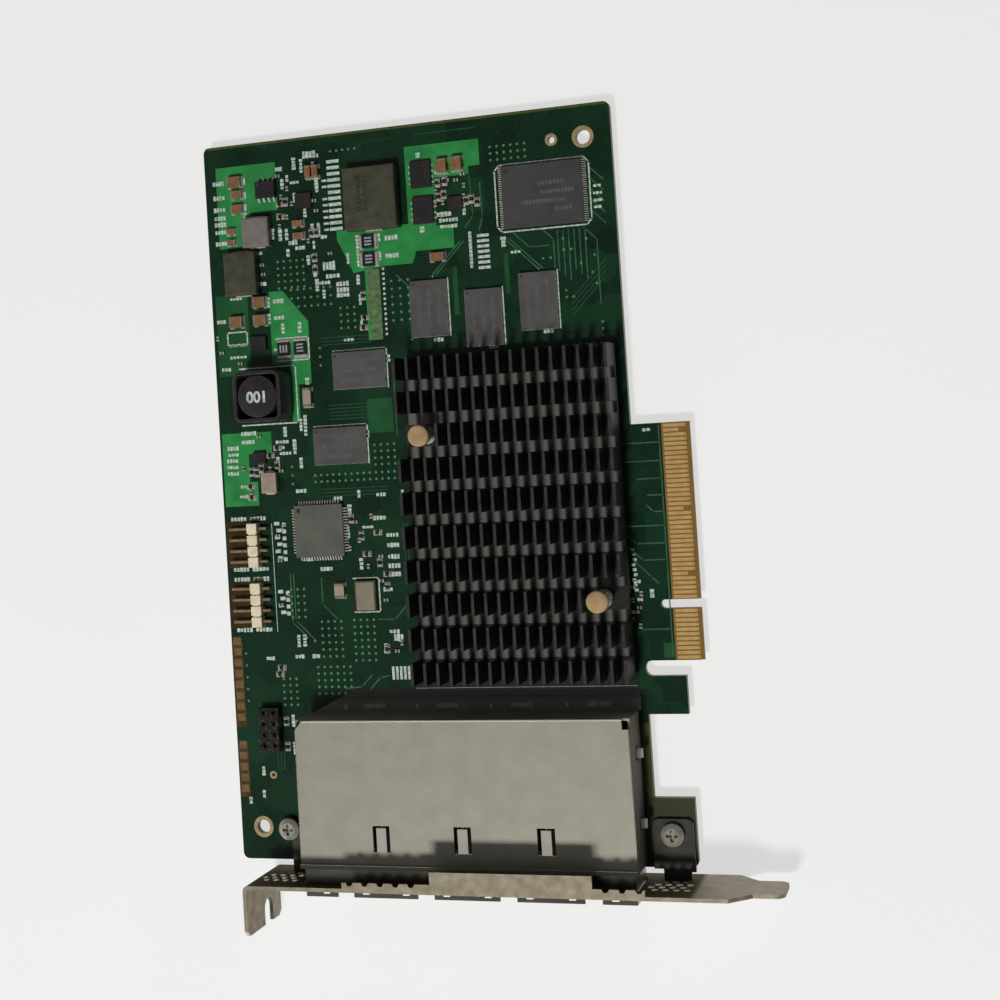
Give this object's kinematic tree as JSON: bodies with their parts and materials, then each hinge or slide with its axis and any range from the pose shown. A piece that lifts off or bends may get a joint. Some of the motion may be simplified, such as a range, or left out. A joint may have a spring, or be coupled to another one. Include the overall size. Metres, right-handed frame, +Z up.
{
  "type": "sas controller card",
  "caption": "Green expansion card with a black cross-cut heat sink, gold edge contacts, a ganged metal port cage and a slotted steel bracket; links a server to external storage shelves.",
  "frame": {"origin": "middle of the key notch, on the line of the contact tips and in the plane of the board's component face", "axes": "X towards the contact tips, Y away from the bracket along the board, Z up from the component face"},
  "size_m": [0.1261, 0.1806, 0.0185],
  "materials": {
    "board": "green solder mask over glass-epoxy laminate",
    "gold": "hard gold plating over nickel",
    "plating": "tinned copper, slightly dulled",
    "package_black": "moulded epoxy, fine matt texture",
    "package_grey": "moulded epoxy, satin",
    "thermal_pad": "filled silicone pad",
    "anodised_black": "black anodised extrusion with milled cross cuts",
    "pin_brass": "turned brass, slightly dulled",
    "spring_steel": "plated spring wire",
    "cage_steel": "bright tinned sheet, faintly brushed",
    "shroud_steel": "bright nickel-plated sheet",
    "socket_black": "glass-filled moulding",
    "bracket_steel": "nickel-plated mild steel",
    "screw_steel": "nickel-plated steel",
    "solder": "tinned lead and solder fillet",
    "iron_powder": "pressed iron powder, grey",
    "ferrite": "dark ferrite, satin",
    "ceramic_tan": "fired ceramic, tan",
    "lid_metal": "seam-welded lid",
    "resin_tan": "moulded tan resin",
    "header_cream": "moulded cream plastic"
  },
  "bodies": {
    "root": {"circuit_board": "board", "edge_contacts_top": "gold", "edge_contacts_bottom": "gold", "hole_rings": "plating", "edge_pads": "plating", "controller_chip": "package_black", "thermal_pad": "thermal_pad", "heat_sink": "anodised_black", "push_pins": "pin_brass", "pin_springs": "spring_steel", "port_cage": "cage_steel", "cage_dividers": "cage_steel", "port_shroud": "shroud_steel", "port_socket_1": "socket_black", "port_socket_2": "socket_black", "port_socket_3": "socket_black", "port_socket_4": "socket_black", "socket_contacts": "gold", "bracket": "bracket_steel", "bracket_screws": "screw_steel", "bracket_nuts": "screw_steel", "flash_chip": "package_grey", "flash_leads": "solder", "memory_chip_1": "package_grey", "memory_chip_2": "package_grey", "memory_chip_3": "package_grey", "memory_chip_4": "package_grey", "memory_chip_5": "package_grey", "logic_chip": "package_grey", "logic_leads": "solder", "regulator_chip": "package_black", "regulator_leads": "solder", "small_chips": "package_black", "power_transistors": "package_black", "transistor_leads": "solder", "power_inductor": "iron_powder", "small_inductor": "iron_powder", "block_inductor": "iron_powder", "inductor_clips": "solder", "drum_frame": "ferrite", "drum_core": "ferrite", "capacitor_bodies": "ceramic_tan", "capacitor_ends": "solder", "sense_resistors": "package_black", "sense_caps": "solder", "chip_passives": "ceramic_tan", "passive_ends": "solder", "oscillator": "ceramic_tan", "oscillator_lid": "lid_metal", "tantalum_capacitor": "resin_tan", "tantalum_feet": "solder", "right_angle_headers": "header_cream", "header_pins": "pin_brass", "block_header": "socket_black", "block_header_pins": "pin_brass"}
  },
  "joints": []
}
